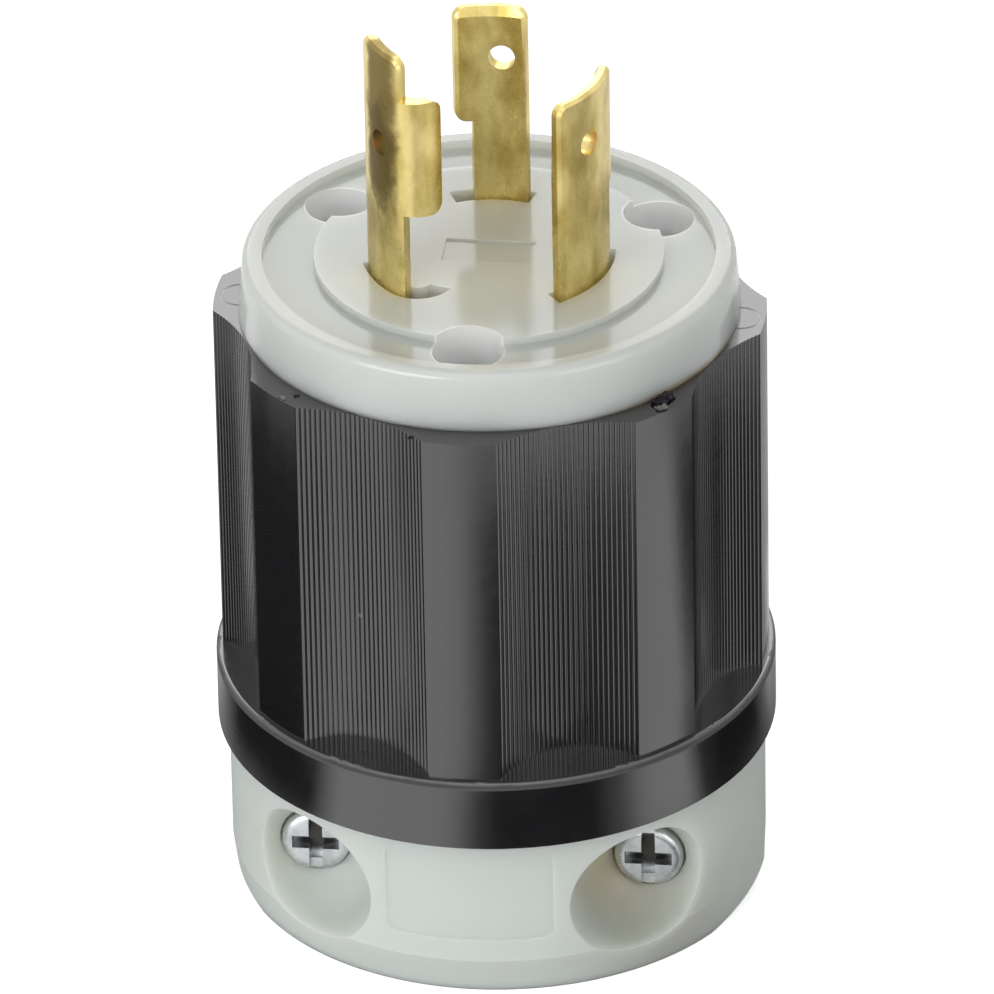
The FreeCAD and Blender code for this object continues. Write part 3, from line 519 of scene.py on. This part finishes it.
lampPlaces = {
    # name: azimuth and elevation in degrees, distance, width and height in metres, power in watts
    "backSoft": (97, 33, 0.6, 0.6, 0.4, 1.25),
    "topFront": (270, 62, 0.6, 0.4, 0.3, 0.5),
    "leftFront": (238, 16, 0.7, 0.5, 0.3, 2.2),
    "rightFront": (322, 20, 0.7, 0.4, 0.3, 0.75),
}
lampAim = Vector((0, 0, 40.0 * mm))


def placeLamps(places):
    for name, (azimuth, elevation, distance, width, height, power) in places.items():
        lamp = bpy.data.lights.new(name, "AREA")
        lamp.shape = "RECTANGLE"
        lamp.size = width
        lamp.size_y = height
        lamp.energy = power
        item = bpy.data.objects.new(name, lamp)
        scene.collection.objects.link(item)
        around, rise = math.radians(azimuth), math.radians(elevation)
        away = Vector((math.cos(around) * math.cos(rise), math.sin(around) * math.cos(rise),
                       math.sin(rise)))
        item.location = lampAim + away * distance
        item.rotation_euler = away.to_track_quat("Z", "Y").to_euler()
        item.visible_camera = False


studioLook = {
    "floorColour": srgb(250, 250, 250), "floorRadius": 4.0, "floorSides": 96,
    "floorDrop": 0.02 * mm, "floorRoughness": 0.9, "worldStrength": 0.23, "paperLift": 0.6,
    "ringBlend": 4,
    # brightness of the table as gloss sees it: for each ring, its inner radius in mm and its levels
    # by direction from the plug, each with its azimuth in degrees
    "glowRings": [
        (0, [(0, 0.2), (359, 0.2)]),
        (30, [(0, 0.08), (60, 0.3), (150, 0.3), (200, 0.4), (222, 0.95), (298, 0.95), (312, 0.3),
              (330, 0.1)]),
        (46, [(0, 0.02), (23, 0.02), (33, 0.3), (38, 0.55), (48, 0.35), (60, 0.75), (72, 1.0),
              (96, 0.75), (110, 0.75), (122, 0.9), (138, 0.55), (150, 0.5), (162, 0.2),
              (170, 0.02), (212, 0.02), (217, 0.5), (223, 1.0), (258, 1.0), (264, 0.7), (270, 0.2),
              (276, 0.02), (308, 0.03), (318, 0.36), (324, 0.8), (330, 1.0), (342, 1.0),
              (350, 0.1)]),
        (64, [(0, 0.04), (40, 0.04), (52, 0.5), (92, 0.5), (100, 1.0), (152, 1.0), (162, 0.03),
              (202, 0.03), (209, 0.7), (214, 1.0), (256, 1.0), (264, 0.9), (270, 0.45),
              (276, 0.04), (282, 0.1), (288, 0.1), (295, 0.03), (319, 0.04), (326, 0.9),
              (346, 1.0), (354, 0.12)]),
        (114, [(340, 0.9), (350, 0.65), (8, 0.45), (20, 0.5), (32, 0.8), (148, 1.0), (160, 0.4),
               (176, 0.2), (200, 0.4), (212, 0.95), (225, 1.0), (258, 1.0), (275, 0.6),
               (290, 0.9), (328, 1.0)]),
    ],
}


def makeFloor(values):
    # White paper to the camera and to soft light, and a table with light and dark parts to gloss
    bpy.ops.object.select_all(action="DESELECT")
    bpy.ops.mesh.primitive_circle_add(vertices=values["floorSides"], radius=values["floorRadius"],
                                      fill_type="NGON", location=(0, 0, -values["floorDrop"]))
    floor = bpy.context.object
    floor.name = "table"
    material, tree, shader = newMaterial("table_paper")
    setShader(shader, Base_Color=values["floorColour"], Roughness=values["floorRoughness"],
              Specular_IOR_Level=0.0)
    path = addNode(tree, "ShaderNodeLightPath")
    place = addNode(tree, "ShaderNodeTexCoord")
    turn = addNode(tree, "ShaderNodeTexGradient", gradient_type="RADIAL")
    tree.links.new(place.outputs["Object"], turn.inputs["Vector"])
    reach = addNode(tree, "ShaderNodeVectorMath", operation="LENGTH")
    tree.links.new(place.outputs["Object"], reach.inputs[0])
    level = None
    for radius, levels in values["glowRings"]:
        ramp = addNode(tree, "ShaderNodeValToRGB")
        stops = sorted(((azimuth + 180) % 360 / 360, brightness) for azimuth, brightness in levels)
        elements = ramp.color_ramp.elements
        while len(elements) < len(stops):
            elements.new(0.5)
        for element, (position, brightness) in zip(elements, stops):
            element.position = position
            element.color = (brightness, brightness, brightness, 1)
        tree.links.new(turn.outputs["Fac"], ramp.inputs["Fac"])
        beyond = addNode(tree, "ShaderNodeMapRange",
                         in_From_Min=(radius - values["ringBlend"]) * mm,
                         in_From_Max=(radius + values["ringBlend"]) * mm)
        tree.links.new(reach.outputs["Value"], beyond.inputs["Value"])
        ringColour = ramp.outputs["Color"]
        level = mixColours(tree, beyond.outputs[0], level, ringColour) if level else ringColour
    glow = addNode(tree, "ShaderNodeEmission")
    tree.links.new(level, glow.inputs["Color"])
    # the camera sees the paper lifted to white, with the plug's shadow still on it
    lift = maths(tree, "MULTIPLY", path.outputs["Is Camera Ray"], values["paperLift"])
    tree.links.new(lift, shader.inputs["Emission Strength"])
    shader.inputs["Emission Color"].default_value = white
    choose = addNode(tree, "ShaderNodeMixShader")
    tree.links.new(path.outputs["Is Glossy Ray"], choose.inputs[0])
    tree.links.new(shader.outputs[0], choose.inputs[1])
    tree.links.new(glow.outputs[0], choose.inputs[2])
    tree.links.new(choose.outputs[0], tree.nodes["Material Output"].inputs["Surface"])
    floor.data.materials.append(material)


def makeWorld(values):
    # White behind the plug and in its gloss, and a dimmer light on it
    world = bpy.data.worlds.new("studio")
    scene.world = world
    world.use_nodes = True
    tree = world.node_tree
    light = tree.nodes["Background"]
    light.inputs["Color"].default_value = white
    light.inputs["Strength"].default_value = values["worldStrength"]
    seen = addNode(tree, "ShaderNodeBackground", in_Color=white, in_Strength=1.0)
    path = addNode(tree, "ShaderNodeLightPath")
    shown = maths(tree, "MAXIMUM", path.outputs["Is Camera Ray"], path.outputs["Is Glossy Ray"])
    shown = maths(tree, "MAXIMUM", shown, path.outputs["Is Transmission Ray"])
    choose = addNode(tree, "ShaderNodeMixShader")
    tree.links.new(shown, choose.inputs[0])
    tree.links.new(light.outputs[0], choose.inputs[1])
    tree.links.new(seen.outputs[0], choose.inputs[2])
    tree.links.new(choose.outputs[0], tree.nodes["World Output"].inputs["Surface"])


placeCamera(cameraPlace)
placeLamps(lampPlaces)
makeFloor(studioLook)
makeWorld(studioLook)
scene.view_settings.view_transform = "Standard"
print("studio ready")
